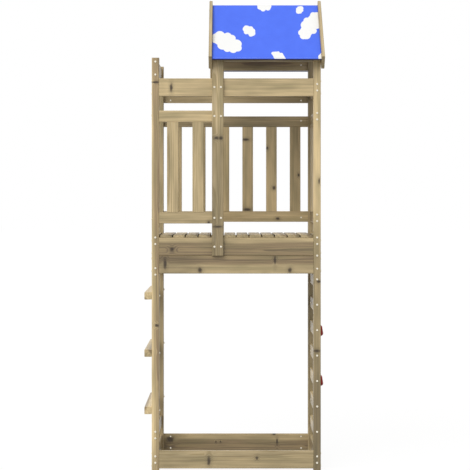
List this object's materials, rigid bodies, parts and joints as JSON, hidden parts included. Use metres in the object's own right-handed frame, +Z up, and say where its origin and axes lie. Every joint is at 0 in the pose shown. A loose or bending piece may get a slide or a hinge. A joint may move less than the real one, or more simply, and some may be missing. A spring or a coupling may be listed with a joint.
{
  "type": "wooden climbing frame",
  "caption": "Tall pine play tower with a raised deck behind slatted guards, ladder rungs at one side, a climbing wall with moulded holds at the other, a sandpit frame and a cloth gable roof.",
  "frame": {"origin": "on the ground, under the middle of the tower's overall box", "axes": "+X to the right seen from the front, from the ladder to the climbing wall; +Y from front to back; +Z up"},
  "size_m": [1.1099, 0.792, 2.934],
  "materials": {
    "impregnated_pine": "planed pine, pressure-impregnated to a greenish tan",
    "roof_fabric": "coated woven cloth, sky blue with white clouds",
    "hold_plastic": "moulded red plastic with a fine grained skin",
    "zinc_steel": "zinc plated"
  },
  "bodies": {
    "root": {"post_front_left": "impregnated_pine", "post_front_right": "impregnated_pine", "post_rear_left": "impregnated_pine", "post_rear_right": "impregnated_pine", "upright_front": "impregnated_pine", "upright_rear": "impregnated_pine", "top_beam_front": "impregnated_pine", "top_beam_rear": "impregnated_pine", "guard_top_rail_front": "impregnated_pine", "guard_low_rail_front": "impregnated_pine", "guard_slats_front": "impregnated_pine", "guard_top_rail_rear": "impregnated_pine", "guard_low_rail_rear": "impregnated_pine", "guard_slats_rear": "impregnated_pine", "guard_top_rail_right": "impregnated_pine", "guard_low_rail_right": "impregnated_pine", "guard_slats_right": "impregnated_pine", "fascia_upper_front": "impregnated_pine", "fascia_lower_front": "impregnated_pine", "fascia_upper_rear": "impregnated_pine", "fascia_lower_rear": "impregnated_pine", "deck_boards": "impregnated_pine", "sandpit_board_front": "impregnated_pine", "sandpit_board_rear": "impregnated_pine", "sandpit_board_left": "impregnated_pine", "sandpit_board_right": "impregnated_pine", "hand_rail_left": "impregnated_pine", "end_rail_left": "impregnated_pine", "brace_left": "impregnated_pine", "foot_board_left": "impregnated_pine", "top_rail_right": "impregnated_pine", "end_rail_right": "impregnated_pine", "kick_board_right": "impregnated_pine", "climbing_board_1": "impregnated_pine", "climbing_board_2": "impregnated_pine", "climbing_board_3": "impregnated_pine", "climbing_board_4": "impregnated_pine", "climbing_board_5": "impregnated_pine", "climbing_board_6": "impregnated_pine", "climbing_board_7": "impregnated_pine", "climbing_hold_1": "hold_plastic", "climbing_hold_2": "hold_plastic", "climbing_hold_3": "hold_plastic", "climbing_hold_4": "hold_plastic", "climbing_hold_5": "hold_plastic", "rung_1": "impregnated_pine", "rung_2": "impregnated_pine", "rung_3": "impregnated_pine", "rafter_front_left": "impregnated_pine", "rafter_rear_left": "impregnated_pine", "rafter_front_right": "impregnated_pine", "rafter_rear_right": "impregnated_pine", "roof_rail_front": "impregnated_pine", "roof_rail_rear": "impregnated_pine", "ridge_batten": "impregnated_pine", "eave_battens": "impregnated_pine", "roof_cloth": "roof_fabric", "bolts": "zinc_steel", "nuts": "zinc_steel", "roof_screws": "zinc_steel"}
  },
  "joints": []
}
